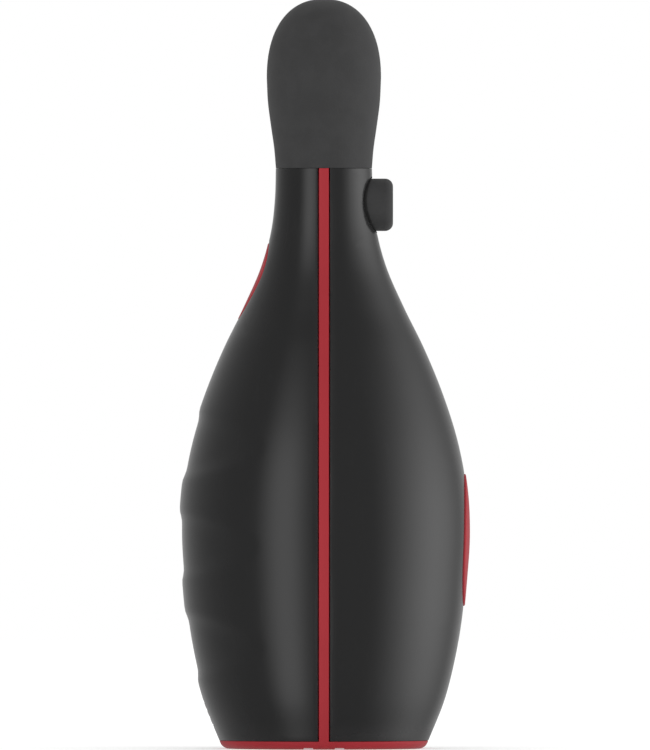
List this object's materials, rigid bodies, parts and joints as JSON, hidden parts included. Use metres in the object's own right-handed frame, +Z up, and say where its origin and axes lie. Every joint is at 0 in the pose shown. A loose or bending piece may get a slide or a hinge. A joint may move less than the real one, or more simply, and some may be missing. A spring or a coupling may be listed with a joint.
{
  "type": "pin-shaped hand massager",
  "caption": "Cordless hand massager shaped like a bowling pin: gloss black half shells on a red seam frame, a soft matte head over a spinning weight, and a sprung thumb button.",
  "frame": {"origin": "centre of the flat underside, on the body's axis", "axes": "+Z up the body's axis towards the head; +X towards the thumb button; +Y across the seam, so the seam frame lies in the Y-Z plane"},
  "size_m": [0.0736, 0.0734, 0.1901],
  "materials": {
    "red_plastic": "satin moulding, coloured right through",
    "black_gloss": "high gloss moulding",
    "soft_black": "matte soft-touch silicone",
    "dark_rubber": "matte",
    "grey_plastic": "fine texture",
    "white_plastic": "satin",
    "clear_plastic": "clear, polished",
    "board_green": "solder mask",
    "chip_black": "moulded package",
    "battery_wrap": "shrink wrap",
    "steel": "bright",
    "dark_steel": "blackened",
    "brass": "bright",
    "nickel": "nickel plated",
    "copper": "lacquered windings",
    "red_lead": "insulation",
    "black_lead": "insulation"
  },
  "bodies": {
    "housing": {"base_screw_1": "dark_steel", "base_screw_2": "dark_steel", "battery_cell": "battery_wrap", "battery_contact_minus": "nickel", "battery_contact_plus": "nickel", "battery_lead_minus": "black_lead", "battery_lead_plus": "red_lead", "board_screw_1": "dark_steel", "board_screw_2": "dark_steel", "bracket_screw": "dark_steel", "button_seal": "dark_rubber", "button_spring": "steel", "capacitor": "battery_wrap", "charge_board": "board_green", "charge_cable": "black_lead", "charge_contact_1": "brass", "charge_contact_2": "brass", "charge_led_1": "white_plastic", "charge_led_2": "white_plastic", "charge_led_3": "white_plastic", "charge_led_4": "white_plastic", "charge_magnet_1": "nickel", "charge_magnet_2": "nickel", "chassis": "grey_plastic", "chassis_screw_1": "dark_steel", "chassis_screw_2": "dark_steel", "controller_chip": "chip_black", "front_shell": "black_gloss", "head_core": "grey_plastic", "head_core_cap": "grey_plastic", "head_sleeve": "soft_black", "indicator_board": "board_green", "indicator_cable": "black_lead", "inductor": "chip_black", "light_pipe": "clear_plastic", "main_board": "board_green", "mid_frame": "red_plastic", "motor_bearing": "brass", "motor_can": "steel", "motor_connector": "white_plastic", "motor_end_cap": "white_plastic", "motor_lead_minus": "black_lead", "motor_lead_plus": "red_lead", "motor_sleeve": "dark_rubber", "neck_damper": "dark_rubber", "neck_inlay": "red_plastic", "push_switch": "chip_black", "rear_badge": "red_plastic", "rear_screw_1": "dark_steel", "rear_screw_2": "dark_steel", "rear_shell": "black_gloss", "switch_board": "board_green", "switch_bracket": "grey_plastic", "switch_cable": "black_lead", "switch_connector": "white_plastic"},
    "button": {"button_cap": "soft_black", "switch_plunger": "white_plastic"},
    "rotor": {"motor_shaft": "steel", "motor_armature": "copper", "eccentric_weight": "brass"}
  },
  "joints": [
    {"name": "button_press", "type": "slide", "parent": "housing", "child": "button", "axis": [-1, 0, 0], "range_m": [0, 0.0015], "stiffness_N_per_m": 800, "springref_m": -0.001, "deforming": ["button_spring"]},
    {"name": "motor_spin", "type": "hinge", "parent": "housing", "child": "rotor", "pos_m": [0, 0, 0.1595], "axis": [0, 0, 1], "continuous": true}
  ]
}
